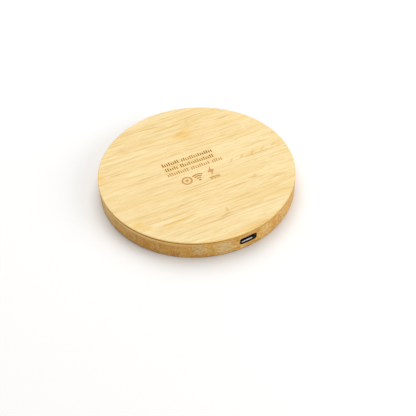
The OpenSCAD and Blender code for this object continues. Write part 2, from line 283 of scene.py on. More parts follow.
def soft_spot(g, place, middle, half, turn=0.0, depth=1.0):
    """A soft ellipsoid: depth in its middle, and 0 at its half sizes (in millimetres)."""
    spot = g.mapped(
        place,
        scale=[h * MM for h in half],
        turn=turn,
        shift=[m * MM for m in middle],
        kind="TEXTURE",
    )
    return g.smooth(g.vector("LENGTH", spot), 0.1, 1.0, depth, 0.0)


def streaks(g, grain, rows):
    """The depth, 0 to 1, of a list of long soft ellipses that run through the wood."""
    total = 0.0
    for x, y, half_length, half_width, turn, depth in rows:
        mark = soft_spot(g, grain, (x, y, 0), (half_length, half_width, 1e6), turn, depth)
        total = g.math("MAXIMUM", total, mark)
    return total


def grain_frame(g, turn):
    """Coordinates with X along the grain, bent a little as grown wood is."""
    straight = g.mapped(g.place, turn=-turn)
    bend = g.noise(straight, (0.03, 0.010, 0.010), detail=2.0, seed=3.1, out="Color")
    bend = g.vector("SUBTRACT", bend, (0.5, 0.5, 0.5))
    bend = g.vector("MULTIPLY", bend, (0.0, 0.0030, 0.0030))
    return g.vector("ADD", straight, bend)


def radius_of(g):
    """Distance from the axis of the pad."""
    x, y = g.parts(g.place)[:2]
    return g.vector("LENGTH", g.joined(x, y, 0.0))


def height_of(g):
    """Height over the charging face."""
    return g.parts(g.place)[2]


def side_fade(g, low, high, azimuth=-143.0):
    """1 on the side of the pad that faces one azimuth, fading to 0 on the other side."""
    angle = math.radians(azimuth)
    toward = g.node("ShaderNodeVectorMath", operation="DOT_PRODUCT")
    g.put(g.place, toward.inputs[0])
    rim = PAD_R * MM
    toward.inputs[1].default_value = (math.cos(angle) / rim, math.sin(angle) / rim, 0.0)
    return g.smooth(toward.outputs["Value"], low, high)


def pale_wood(g, grain, seed):
    """The flat faces: broad tones, strips, streaks, hairlines and fibre."""
    tone = g.noise(grain, (0.10, 0.011, 0.011), detail=2.0, seed=seed)
    strip_tone = g.noise(grain, (0.16, 0.006, 0.006), detail=1.0, seed=seed + 2)
    wide = g.noise(grain, (0.060, 0.0017, 0.0017), detail=2.0, rough=0.6, seed=seed + 4)
    line = g.noise(grain, (0.042, 0.00065, 0.00065), detail=2.0, seed=seed + 9)
    hair = g.noise(grain, (0.020, 0.00032, 0.00032), detail=2.0, seed=seed + 12)
    fibre = g.noise(grain, (0.009, 0.00014, 0.00014), detail=2.0, seed=seed + 14)
    gate = g.noise(grain, (0.045, 0.005, 0.005), detail=1.0, seed=seed + 21)

    pale = g.mix(g.smooth(tone, 0.34, 0.66), (0.812, 0.660, 0.368), (0.767, 0.590, 0.290))
    pale = g.mix(g.smooth(strip_tone, 0.38, 0.62, 0.0, 0.45), pale, (0.80, 0.622, 0.312))
    pale = g.mix(g.smooth(wide, 0.44, 0.74, 0.0, 0.85), pale, (0.715, 0.505, 0.18))
    dark_line = g.product(g.smooth(line, 0.54, 0.76), g.smooth(gate, 0.40, 0.60, 0.25, 0.95))
    pale = g.mix(dark_line, pale, (0.60, 0.370, 0.09))
    pale = g.mix(g.smooth(hair, 0.52, 0.74, 0.0, 0.6), pale, (0.60, 0.350, 0.07))
    pale = g.mix(g.smooth(fibre, 0.5, 0.72, 0.0, 0.55), pale, (0.60, 0.37, 0.10))
    light = g.smooth(g.noise(grain, (0.03, 0.0006, 0.0006), seed=seed + 33), 0.56, 0.75, 0.0, 0.5)
    pale = g.mix(light, pale, (0.84, 0.70, 0.40))
    return pale, line, hair, fibre


def wall_wood(g, grain, seed, patches):
    """The turned side wall: oiled and darker, with dots where it cuts the fibres across."""
    cloud = g.noise(g.place, (0.008, 0.008, 0.005), detail=3.0, seed=seed + 40)
    speck = g.noise(grain, (0.0035, 0.00045, 0.00045), detail=3.0, rough=0.65, seed=seed + 44)
    dots = g.cells(grain, (0.004, 0.0009, 0.0009), seed=seed + 3)
    gold = g.mix(g.smooth(cloud, 0.38, 0.62), (0.680, 0.385, 0.085), (0.600, 0.290, 0.040))
    for azimuth, height, half_width, half_height, colour, strength in patches:
        angle = math.radians(azimuth)
        middle = (PAD_R * math.cos(angle), PAD_R * math.sin(angle), height)
        spot = soft_spot(g, g.place, middle, (half_width, half_width, half_height), 0, strength)
        gold = g.mix(spot, gold, colour)
    mottle = g.noise(g.place, (0.0016, 0.0016, 0.0012), detail=2.0, rough=0.6, seed=seed + 51)
    gold = g.mix(g.smooth(mottle, 0.50, 0.72, 0.0, 0.50), gold, (0.40, 0.185, 0.03))
    gold = g.mix(g.smooth(mottle, 0.28, 0.46, 0.45, 0.0), gold, (0.82, 0.56, 0.20))
    gold = g.mix(g.smooth(speck, 0.44, 0.68, 0.0, 0.75), gold, (0.36, 0.165, 0.03))
    gold = g.mix(g.smooth(speck, 0.34, 0.50, 0.50, 0.0), gold, (0.82, 0.55, 0.19))
    return g.mix(g.smooth(dots, 0.10, 0.32, 0.45, 0.0), gold, (0.31, 0.145, 0.03))


def wood_surface(g, line, hair, fibre, speck_depth=0.00003):
    """Roughness and bump that go with the grain."""
    rough = g.smooth(fibre, 0.3, 0.7, 0.47, 0.60)
    pores = g.total(g.product(fibre, 0.3), g.product(line, 0.4), g.product(hair, 0.3))
    return rough, g.bump(pores, speck_depth, 0.7)


def row_place(g, turn, x, y):
    """Coordinates of a mark in the turned frame that the marks were engraved in."""
    return g.mapped(g.place, turn=turn, shift=place_of(turn, x, y), kind="TEXTURE")


def place_of(turn, x, y):
    """The place of a point that is given in millimetres in a turned frame."""
    angle = math.radians(turn)
    return (
        (x * math.cos(angle) - y * math.sin(angle)) * MM,
        (x * math.sin(angle) + y * math.cos(angle)) * MM,
        0,
    )


# The rows and symbols on the base cover: middle x, y, half length, half height, strength of haze
MARK_BOXES = [
    (-1.1, 9.5, 13.9, 1.2, 0.44),
    (-1.4, 5.6, 13.5, 1.2, 0.40),
    (-0.1, 1.7, 15.0, 1.2, 0.26),
    (-7.7, -5.9, 2.8, 2.8, 0.01),
    (-1.5, -6.0, 2.9, 2.7, 0.03),
    (6.0, -4.6, 1.9, 3.2, 0.12),
    (6.1, -9.4, 2.6, 0.8, 0.25),
    (-1.0, 5.6, 14.5, 5.2, 0.09),
]


def scorch_haze(g):
    """The faint brown haze that the laser leaves round the rows and the symbols."""
    haze = 0.0
    for x, y, half_length, half_height, strength in MARK_BOXES:
        px, py = g.parts(row_place(g, COVER_TURN, x, y))[:2]
        along = g.fade(g.math("ABSOLUTE", px), half_length, half_length + 0.6, 1.0, 0.0)
        across = g.fade(g.math("ABSOLUTE", py), half_height, half_height + 0.5, 1.0, 0.0)
        haze = g.math("MAXIMUM", haze, g.product(along, across, strength))
    uneven = g.smooth(g.noise(g.place, 0.0012, detail=2.0, seed=61.0), 0.3, 0.6, 0.6, 1.0)
    return g.product(haze, uneven)


def burnt_wood(g):
    """The floor of the engraved marks: dark in the top row and lighter further down."""
    x, y = g.parts(row_place(g, COVER_TURN, 0, 0))[:2]
    char = g.noise(g.place, 0.0012, detail=3.0, seed=5.0)
    dark = g.mix(g.smooth(char, 0.35, 0.65), (0.22, 0.075, 0.010), (0.10, 0.030, 0.004))
    light = g.mix(g.smooth(char, 0.35, 0.65), (0.60, 0.315, 0.080), (0.50, 0.225, 0.045))
    # The middle of the rows is burnt less than their ends
    away = g.apart(x, 1.0 * MM)
    ends = g.fade(away, 2.0, 6.0, 0.45, 1.0)
    return g.mix(g.product(g.fade(y, -0.5, 8.5), ends), light, dark)


def engraved(g):
    """1 inside the engraved recesses of the cover."""
    z = height_of(g)
    low = g.fade(z, PAD_H - 0.10, PAD_H - 0.01, 1.0, 0.0)
    high = g.fade(z, SEAM_Z, SEAM_Z + 0.1)
    middle = g.fade(radius_of(g), 30, 31, 1.0, 0.0)
    return g.product(low, high, middle)


def seam_line_and_painted_shade(g, colour):
    """A dark joint line at the cover's lower edge, deepened by painted shade, and a band of painted
    shade beside it, strongest on the shaded side towards -X and faint on the other side.
    """
    away = g.apart(height_of(g), SEAM_Z * MM)
    uneven = g.smooth(g.noise(g.place, 0.006, detail=2.0, seed=9.0), 0.3, 0.6, 0.65, 1.0)
    rim = g.fade(radius_of(g), 49.3, 49.7)
    strength = g.product(side_fade(g, 0.0, 0.95, -165), uneven, rim)
    # Painted shade: a brown band within about half a millimetre of the seam, on the -X side.
    shade_band = g.fade(away, 0.25, 0.58, 0.92, 0.0)
    line = g.fade(away, 0.12, 0.24, 1.0, 0.0)
    near = g.product(strength, side_fade(g, -0.1, 0.7, -165))
    colour = g.mix(g.product(shade_band, near), colour, (0.57, 0.235, 0.010))
    # The thin dark joint line runs all round; on the -X side painted shade deepens it.
    strength = g.math("MAXIMUM", strength, g.product(rim, 0.15))
    return g.mix(g.product(line, strength), colour, (0.25, 0.070, 0.003))


def cover_material():
    """Pale bamboo with its growth nodes, burnt marks and a clean edge, with painted shade on the edge
    and along the seam towards -X.
    """
    g = Graph("bamboo_cover_look")
    grain = grain_frame(g, GRAIN_TURN)
    pale, line, hair, fibre = pale_wood(g, grain, 1.0)
    broken = g.noise(grain, (0.012, 0.0008, 0.0008), detail=2.0, seed=31)
    broken = g.smooth(broken, 0.30, 0.58, 0.25, 1.0)
    depth = g.product(streaks(g, grain, COVER_STREAKS), broken)
    pale = g.mix(g.product(depth, 0.84), pale, (0.55, 0.345, 0.095))
    patchy = g.noise(grain, (0.005, 0.0011, 0.0011), detail=2.0, seed=37)
    patchy = g.smooth(patchy, 0.3, 0.6, 0.4, 1.0)
    stain = g.product(streaks(g, grain, COVER_STAINS), patchy)
    pale = g.mix(g.product(stain, 0.85), pale, (0.735, 0.450, 0.095))
    depth = g.product(streaks(g, grain, COVER_NODES), patchy)
    pale = g.mix(g.product(depth, 0.72), pale, (0.58, 0.325, 0.085))
    pale = g.mix(scorch_haze(g), pale, (0.71, 0.39, 0.020))

    edge = g.fade(radius_of(g), 49.70, 49.95)
    # The cover's edge has a golden tone, deeper and more saturated towards -X as painted shade.
    golden_and_painted_shade = g.mix(side_fade(g, 0.1, 0.85), (0.80, 0.545, 0.20), (0.84, 0.52, 0.115))
    colour = g.mix(g.product(edge, 0.8), pale, golden_and_painted_shade)
    # Dark joint line and painted shade along the seam.
    colour = seam_line_and_painted_shade(g, colour)
    colour = g.mix(engraved(g), colour, burnt_wood(g))
    rough, normal = wood_surface(g, line, hair, fibre)
    return g.finish(colour, rough, normal, Specular_IOR_Level=0.35)


def body_material():
    """Bamboo with an oiled, darker side wall that carries a painted highlight, painted shade and a
    painted contact shadow, and scorched walls in the port's slot.
    """
    g = Graph("bamboo_body_look")
    grain = grain_frame(g, 2.0)
    pale, line, hair, fibre = pale_wood(g, grain, 11.0)
    wall = wall_wood(g, grain, 11.0, WALL_PATCHES)
    # Painted highlight: a lighter band at the top of the wall, under the seam, strongest towards -X.
    top_painted_highlight = g.product(g.fade(height_of(g), 7.5, 8.3), side_fade(g, 0.5, 0.98, -165))
    wall = g.mix(g.product(top_painted_highlight, 0.62), wall, (0.86, 0.58, 0.22))
    top_shade = g.product(g.fade(height_of(g), 7.8, 9.0), side_fade(g, 0.9, 0.2))
    wall = g.mix(g.product(top_shade, 0.35), wall, (0.58, 0.31, 0.06))
    # Painted contact shadow: near-black brown on the lowest half millimetre of the wall, strongest
    # towards -X and faint elsewhere.
    foot = g.fade(height_of(g), 0.15, 0.48, 1.0, 0.0)
    foot = g.product(foot, g.smooth(side_fade(g, -0.2, 0.9), 0.0, 1.0, 0.10, 1.0))
    wall = g.mix(foot, wall, (0.10, 0.035, 0.010))
    colour = g.mix(g.fade(radius_of(g), 49.35, 49.8), pale, wall)
    # Dark joint line and painted shade along the seam.
    colour = seam_line_and_painted_shade(g, colour)
    colour = g.mix(slot_mask(g), colour, soot(g))
    rough, normal = wood_surface(g, line, hair, fibre, 0.00005)
    return g.finish(colour, rough, normal, Specular_IOR_Level=0.3)


def slot_mask(g):
    """1 on the walls of the port's slot, just behind the rim."""
    x, y, z = g.parts(g.place)
    wide = g.fade(g.math("ABSOLUTE", x), 4.80, 4.95, 1.0, 0.0)
    lift = g.apart(z, PORT_Z * MM)
    tall = g.fade(lift, 2.06, 2.20, 1.0, 0.0)
    front = g.fade(y, -46.9, -47.1)
    behind = g.fade(radius_of(g), 49.93, 49.985, 1.0, 0.0)
    return g.product(wide, tall, front, behind)


def soot(g):
    """The black, laser-cut wood of the slot's walls."""
    cloud = g.noise(g.place, 0.0006, detail=3.0, seed=2.0)
    return g.mix(g.smooth(cloud, 0.3, 0.7), (0.010, 0.008, 0.007), (0.026, 0.018, 0.013))


# Metals and plastics ---------------------------------------------------------------------------


def metal_tones(g, colour, dark, roughness, size, stretch=(1, 1, 1)):
    """Colour, roughness and line pattern of metal with fine drawn lines and uneven gloss."""
    fine = g.noise(g.place, [size * s for s in stretch], detail=3.0, rough=0.6, seed=1.0)
    broad = g.noise(g.place, size * 12, detail=2.0, seed=6.0)
    tone = g.mix(g.smooth(broad, 0.3, 0.7), colour, dark)
    tone = g.mix(g.smooth(fine, 0.45, 0.75, 0.0, 0.5), tone, dark)
    gloss = g.product(g.total(fine, broad), 0.5)
    rough = g.smooth(gloss, 0.3, 0.7, roughness - 0.07, roughness + 0.09)
    return tone, rough, fine


def skin_tones(g, colour, light, roughness, size):
    """Colour, roughness and grain of moulded plastic or pressed powder."""
    fine = g.noise(g.place, size, detail=3.0, rough=0.6, seed=2.0)
    broad = g.noise(g.place, size * 15, detail=2.0, seed=8.0)
    tone = g.mix(g.smooth(fine, 0.4, 0.75), colour, light)
    tone = g.mix(g.smooth(broad, 0.35, 0.75, 0.0, 0.35), tone, light)
    rough = g.smooth(broad, 0.3, 0.7, roughness - 0.06, roughness + 0.08)
    return tone, rough, fine


def shell_material():
    """Nickel with drawn lines outside, a painted highlight on the lower lip, painted shade on the upper
    and side lips, and near-black painted shade inside the opening.
    """
    g = Graph("nickel_look")
    x, y, z = g.parts(g.place)
    tone, rough, fine = metal_tones(g, (0.74, 0.73, 0.72), (0.58, 0.57, 0.56), 0.30, 0.0002, (1, 8, 1))
    past_straight = g.math("SUBTRACT", g.math("ABSOLUTE", x), SHELL_STRAIGHT * MM)
    side = g.math("MAXIMUM", past_straight, 0.0)
    lift = g.math("SUBTRACT", z, PORT_Z * MM)
    reach = g.vector("LENGTH", g.joined(side, lift, 0.0))
    inside = g.fade(reach, 1.36, 1.41, 1.0, 0.0)
    # Depth into the port, slanted across it, where the painted light and shade change.
    slanted_depth = g.math("ADD", y, g.product(g.math("ADD", x, 3.0 * MM), -0.03))
    behind_lip = g.fade(slanted_depth, MOUTH_Y + 0.30, MOUTH_Y + 0.60)
    # Painted shade: near black inside the opening, behind the lip.
    tone = g.mix(g.product(inside, behind_lip), tone, (0.010, 0.010, 0.011))
    lip = g.fade(slanted_depth, MOUTH_Y + 0.25, MOUTH_Y + 0.55, 1.0, 0.0)
    ends = g.product(g.fade(x, -3.3, -2.8), g.fade(x, 2.4, 2.8, 1.0, 0.0))
    lower = g.product(g.fade(lift, -1.30, -1.05, 1.0, 0.0), ends)
    # Painted highlight: near white on the lower lip between its ends; painted shade: near black on the
    # rest of the lip.
    tone = g.mix(g.product(lip, lower), tone, (0.97, 0.965, 0.97))
    tone = g.mix(g.product(lip, g.math("SUBTRACT", 1.0, lower)), tone, (0.05, 0.05, 0.052))
    rough = g.math("ADD", rough, g.product(lip, 0.25))
    metallic = g.smooth(lip, 0.0, 1.0, 1.0, 0.35)
    return g.finish(tone, rough, g.bump(fine, 0.000004, 0.5), Metallic=metallic)


def insulator_material():
    """Black liquid-crystal polymer with flow lines along the tongue."""
    g = Graph("black_moulding_look")
    tone, rough, fine = skin_tones(g, (0.010, 0.010, 0.011), (0.026, 0.026, 0.028), 0.42, 0.0001)
    flow = g.noise(g.place, (0.00025, 0.0025, 0.00025), detail=2.0, seed=4.0)
    tone = g.mix(g.smooth(flow, 0.5, 0.7, 0.0, 0.7), tone, (0.042, 0.041, 0.040))
    return g.finish(tone, rough, g.bump(g.total(fine, flow), 0.000006, 0.5))


def plate_material():
    """Cold rolled steel, with lines along the rolling direction."""
    g = Graph("plate_steel_look")
    tone, rough, fine = metal_tones(g, (0.60, 0.60, 0.60), (0.42, 0.42, 0.43), 0.34, 0.0002, (1, 7, 1))
    return g.finish(tone, rough, g.bump(fine, 0.000004, 0.6), Metallic=1.0)


def contacts_material():
    """Gold on the part that meets the plug, rubbed near its tip, and tin on the tails."""
    g = Graph("gold_contacts_look")
    y = g.parts(g.place)[1]
    tone, rough, fine = metal_tones(g, (0.95, 0.71, 0.31), (0.82, 0.57, 0.22), 0.26, 0.0002, (1, 6, 1))
    rub = g.noise(g.place, (0.00008, 0.0012, 0.00008), detail=2.0, seed=12.0)
    tip = g.fade(y, MOUTH_Y + 2.6, MOUTH_Y + 2.0)
    rub = g.product(g.smooth(rub, 0.45, 0.6), tip)
    tone = g.mix(g.product(rub, 0.6), tone, (0.98, 0.82, 0.50))
    tail = g.fade(y, MOUTH_Y + 6.7, MOUTH_Y + 7.1)
    tone = g.mix(tail, tone, (0.66, 0.66, 0.67))
    rough = g.math("ADD", rough, g.product(tail, 0.12))
    return g.finish(tone, rough, g.bump(fine, 0.000003, 0.5), Metallic=1.0)


# Circuit board ---------------------------------------------------------------------------------

# Groups of parts under the board: middle angle, angle step, count, radius, half size outward
# from the axis, half size across, and how far each solder pad reaches past the part
GROUPS = {
    "controller_ic": (180, 360, 1, 32.0, 3.0, 3.0, 0.45),
    "bridge_mosfets": (216, 26, 2, 32.0, 3.0, 2.5, 0.25),
    "regulator": (318, 360, 1, 32.0, 1.45, 1.4, 0.30),
    "filter_inductor": (300, 360, 1, 31.5, 2.0, 2.0, 0.40),
    "input_capacitors": (270, 14, 2, 33.5, 1.6, 0.8, 0.40),
    "resonant_capacitors": (139, 8, 4, 32.0, 1.6, 1.25, 0.40),
    "chip_capacitors": (180, 7, 5, 36.8, 0.4, 0.8, 0.30),
    "chip_resistors": (344, 6, 5, 30.0, 0.8, 0.4, 0.30),
    "sense_resistor": (247, 360, 1, 31.0, 1.6, 0.8, 0.40),
    "thermistor": (92, 360, 1, 27.0, 0.8, 0.4, 0.30),
}
# Groups whose outlines are printed on the board
OUTLINED = [name for name, values in GROUPS.items() if values[2] == 1] + ["bridge_mosfets"]


def group_frame(g, name):
    """Distances from the middle of the nearest part of a group: outward and across, in metres."""
    middle, step, count, radius = GROUPS[name][:4]
    x, y = g.parts(g.mapped(g.place, turn=-middle))[:2]
    angle = g.math("ARCTAN2", y, x)
    half = math.radians(step) / 2
    if count % 2 == 0:
        angle = g.math("SUBTRACT", angle, half)
    angle = g.math("WRAP", angle, half, -half)
    reach = g.vector("LENGTH", g.joined(x, y, 0.0))
    outward = g.math("MULTIPLY", reach, g.math("COSINE", angle))
    across = g.math("MULTIPLY", reach, g.math("SINE", angle))
    return g.math("SUBTRACT", outward, radius * MM), across


def outside_box(g, outward, across, half_out, half_across):
    """How far a point lies outside a rectangle, negative inside it, in metres."""
    out = g.math("SUBTRACT", g.math("ABSOLUTE", outward), half_out * MM)
    side = g.math("SUBTRACT", g.math("ABSOLUTE", across), half_across * MM)
    return g.math("MAXIMUM", out, side)


def group_gate(g, name):
    """1 round the parts of a group, so that a repeated angle doesn't draw more of them."""
    middle, step, count = GROUPS[name][:3]
    if count == 1:
        return 1.0
    x, y = g.parts(g.mapped(g.place, turn=-middle))[:2]
    angle = g.math("ABSOLUTE", g.math("ARCTAN2", y, x))
    reach = math.radians(step * count / 2)
    return g.smooth(angle, reach, reach + math.radians(0.1), 1.0, 0.0)


def pads_and_print(g):
    """Masks of the tinned pads and of the white printed outlines on the board's lower face."""
    pads = 0.0
    prints = 0.0
    for name, values in GROUPS.items():
        half_out, half_across, reach = values[4:]
        outward, across = group_frame(g, name)
        gate = group_gate(g, name)
        if half_out >= half_across:
            pad_box = (half_out + reach, half_across + 0.1)
        else:
            pad_box = (half_out + 0.1, half_across + reach)
        pad = outside_box(g, outward, across, *pad_box)
        pads = g.math("MAXIMUM", pads, g.product(g.smooth(pad, 0.0, 0.06 * MM, 1.0, 0.0), gate))
        if name in OUTLINED:
            rim = outside_box(g, outward, across, pad_box[0] + 0.35, pad_box[1] + 0.35)
            rim = g.fade(g.math("ABSOLUTE", rim), 0.08, 0.14, 1.0, 0.0)
            prints = g.math("MAXIMUM", prints, g.product(rim, gate))
    return pads, prints


def traces(g):
    """Copper tracks under the lacquer: arcs round the parts, and a bundle that runs to the port."""
    x, y = g.parts(g.place)[:2]
    reach = radius_of(g)
    arc = g.math("ABSOLUTE", g.math("WRAP", reach, 0.7 * MM, -0.7 * MM))
    arc = g.fade(arc, 0.16, 0.24, 1.0, 0.0)
    sector = g.noise(g.place, 0.011, detail=1.0, seed=14.0)
    arc = g.product(arc, g.smooth(sector, 0.50, 0.52), g.fade(reach, 25.0, 25.2))
    bundle = g.math("ABSOLUTE", g.math("WRAP", x, 0.5 * MM, -0.5 * MM))
    bundle = g.fade(bundle, 0.14, 0.2, 1.0, 0.0)
    near = g.fade(g.math("ABSOLUTE", x), 3.4, 3.5, 1.0, 0.0)
    bundle = g.product(bundle, near, g.fade(y, -34.0, -34.3))
    return g.math("MAXIMUM", arc, bundle)


def vias(g):
    """Masks of the tinned rings of the vias and of their holes, which the board gets near black as
    painted shade.
    """
    spot = g.cells(g.mapped(g.place, scale=(1, 1, 0)), 0.0052, seed=3.0)
    ring = g.smooth(spot, 0.085, 0.095, 1.0, 0.0)
    hole = g.smooth(spot, 0.035, 0.045, 1.0, 0.0)
    return ring, hole


def from_screw(g):
    """The vector from the axis of the nearest of the four screws, with X and Y made positive."""
    x, y = g.parts(g.place)[:2]
    spot = g.joined(g.math("ABSOLUTE", x), g.math("ABSOLUTE", y), 0.0)
    middle = SCREW_CIRCLE_R * math.sqrt(0.5) * MM
    return g.vector("SUBTRACT", spot, (middle, middle, 0.0))


def screw_rings(g):
    """Bare tinned rings round the four screw holes."""
    away = g.vector("LENGTH", from_screw(g))
    return g.fade(away, 1.95, 2.05, 1.0, 0.0)


def board_material():
    """Green lacquer over copper tracks, tinned pads and vias, white outlines and a tan edge."""
    g = Graph("board_look")
    z = height_of(g)
    level = g.math("ABSOLUTE", g.parts(g.node("ShaderNodeTexCoord").outputs["Normal"])[2])
    weave = g.node("ShaderNodeTexWave", wave_type="BANDS", bands_direction="DIAGONAL")
    g.put(g.mapped(g.place, scale=(1800, 1800, 0)), weave.inputs["Vector"])
    cloud = g.noise(g.place, 0.004, detail=3.0, seed=2.0)
    green = g.mix(g.smooth(cloud, 0.3, 0.7), (0.008, 0.085, 0.030), (0.014, 0.115, 0.045))
    green = g.mix(g.product(weave.outputs["Fac"], 0.18), green, (0.02, 0.15, 0.06))
    copper = traces(g)
    green = g.mix(g.product(copper, 0.75), green, (0.030, 0.200, 0.075))
    under = g.fade(z, BOARD_Z + 0.3, BOARD_Z + 0.4, 1.0, 0.0)
    pads, prints = pads_and_print(g)
    pads = g.product(pads, under)
    ring, hole = vias(g)
    tin = g.math("MAXIMUM", g.math("MAXIMUM", pads, ring), screw_rings(g))
    tin_tone = g.mix(g.smooth(cloud, 0.35, 0.65), (0.72, 0.72, 0.71), (0.55, 0.55, 0.55))
    colour = g.mix(g.product(prints, under, 0.9), green, (0.78, 0.78, 0.75))
    colour = g.mix(tin, colour, tin_tone)
    # Painted shade: the via holes near black.
    colour = g.mix(hole, colour, (0.01, 0.01, 0.01))
    layer = g.fade(g.math("ABSOLUTE", g.math("WRAP", z, 0.1 * MM, -0.1 * MM)), 0.03, 0.07)
    edge_tone = g.mix(layer, (0.50, 0.42, 0.17), (0.36, 0.29, 0.10))
    flat = g.smooth(level, 0.4, 0.6)
    colour = g.mix(flat, edge_tone, colour)
    rough = g.mix(tin, (0.28, 0.28, 0.28), (0.34, 0.34, 0.34))
    rough = g.math("ADD", rough, g.smooth(flat, 0.0, 1.0, 0.4, 0.0))
    bump = g.bump(g.total(g.product(copper, 0.5), tin, g.product(prints, 0.4)), 0.00003, 0.8)
    return g.finish(colour, rough, bump, Metallic=g.product(tin, flat))


def tin_tones(g):
    """Colour, roughness and line pattern of a chip's tinned caps."""
    return metal_tones(g, (0.78, 0.78, 0.79), (0.58, 0.58, 0.60), 0.26, 0.00025)


def chip_material(name, group, colour, light, end, turned=False):
    """A ceramic chip: a grainy body, and tinned caps beyond end millimetres from its middle."""
    g = Graph(name)
    outward, across = group_frame(g, group)
    along = g.math("ABSOLUTE", across if turned else outward)
    cap = g.fade(along, end - 0.02, end + 0.02)
    tone, rough, fine = skin_tones(g, colour, light, 0.45, 0.00008)
    tin, tin_rough, drawn = tin_tones(g)
    fillet = g.fade(height_of(g), BOARD_Z - 0.55, BOARD_Z, 0.0, 0.5)
    tin = g.mix(fillet, tin, (0.86, 0.86, 0.86))
    tone = g.mix(cap, tone, tin)
    rough = g.mix(cap, rough, tin_rough)
    return g.finish(tone, rough, g.bump(g.total(fine, drawn), 0.000006, 0.6), Metallic=cap)


def film_chip_material(name, group, end):
    """A chip resistor: a white ceramic body with a black glazed face, and tinned caps."""
    g = Graph(name)
    outward, across = group_frame(g, group)
    along = g.math("ABSOLUTE", outward)
    cap = g.fade(along, end - 0.02, end + 0.02)
    half_across = GROUPS[group][5]
    side = g.fade(g.math("ABSOLUTE", across), half_across - 0.12, half_across - 0.06)
    low = g.fade(height_of(g), BOARD_Z - 0.52, BOARD_Z - 0.40)
    ceramic = g.math("MAXIMUM", side, low)
    tone, rough, fine = skin_tones(g, (0.012, 0.012, 0.013), (0.03, 0.03, 0.032), 0.22, 0.0001)
    white = g.mix(g.smooth(fine, 0.35, 0.7), (0.76, 0.75, 0.71), (0.64, 0.63, 0.59))
    tone = g.mix(ceramic, tone, white)
    tin, tin_rough, drawn = tin_tones(g)
    tone = g.mix(cap, tone, tin)
    rough = g.mix(cap, g.math("ADD", rough, g.product(ceramic, 0.3)), tin_rough)
    return g.finish(tone, rough, g.bump(g.total(fine, drawn), 0.000006, 0.6), Metallic=cap)


def package_material(name, group, half, turned=False, dot=None):
    """A black epoxy package: tinned leads beyond half millimetres from its middle, maybe a dot."""
    g = Graph(name)
    outward, across = group_frame(g, group)
    along = g.math("ABSOLUTE", across if turned else outward)
    lead = g.fade(along, half, half + 0.03)
    tone, rough, fine = skin_tones(g, (0.014, 0.014, 0.015), (0.034, 0.034, 0.036), 0.52, 0.00007)
    swirl = g.noise(g.place, (0.0012, 0.0005, 0.0008), detail=3.0, seed=17.0)
    tone = g.mix(g.smooth(swirl, 0.5, 0.7, 0.0, 0.6), tone, (0.050, 0.050, 0.052))
    tin, tin_rough = metal_tones(g, (0.74, 0.74, 0.75), (0.55, 0.55, 0.57), 0.28, 0.00025)[:2]
    tone = g.mix(lead, tone, tin)
    rough = g.mix(lead, rough, tin_rough)
    if dot:
        dot_outward = g.math("SUBTRACT", outward, dot[0] * MM)
        dot_across = g.math("SUBTRACT", across, dot[1] * MM)
        away = g.vector("LENGTH", g.joined(dot_outward, dot_across, 0.0))
        spot = g.fade(away, 0.33, 0.37, 1.0, 0.0)
        tone = g.mix(spot, tone, (0.20, 0.20, 0.20))
    return g.finish(tone, rough, g.bump(g.total(fine, swirl), 0.000008, 0.6), Metallic=lead)


def choke_material():
    """Pressed iron powder: dark grey with bright grains, and tinned feet at the board."""
    g = Graph("choke_look")
    tone, rough, fine = skin_tones(g, (0.10, 0.10, 0.105), (0.19, 0.19, 0.195), 0.55, 0.00012)
    grains = g.smooth(g.cells(g.place, 0.00016, seed=8.0), 0.10, 0.22, 1.0, 0.0)
    tone = g.mix(g.product(grains, 0.55), tone, (0.36, 0.36, 0.36))
    across = group_frame(g, "filter_inductor")[1]
    foot = g.fade(g.math("ABSOLUTE", across), 1.35, 1.40)
    foot = g.product(foot, g.fade(height_of(g), BOARD_Z - 0.45, BOARD_Z - 0.38))
    tone = g.mix(foot, tone, (0.76, 0.76, 0.77))
    return g.finish(tone, rough, g.bump(g.total(fine, grains), 0.00001, 0.7), Metallic=foot)


def solder_material():
    """Bright solder with frosty patches, and amber flux at the board."""
    g = Graph("solder_look")
    tone, rough, fine = metal_tones(g, (0.80, 0.81, 0.82), (0.60, 0.61, 0.63), 0.20, 0.0003)
    frost = g.smooth(g.noise(g.place, 0.0005, detail=3.0, seed=21.0), 0.45, 0.62)
    rough = g.math("ADD", rough, g.product(frost, 0.2))
    flux = g.fade(height_of(g), BOARD_Z - 0.20, BOARD_Z - 0.03, 0.0, 0.7)
    tone = g.mix(flux, tone, (0.42, 0.24, 0.07))
    metallic = g.smooth(flux, 0.0, 1.0, 1.0, 0.2)
    return g.finish(tone, rough, g.bump(g.total(fine, frost), 0.000012, 0.6), Metallic=metallic)


# Coil and magnetic parts -----------------------------------------------------------------------


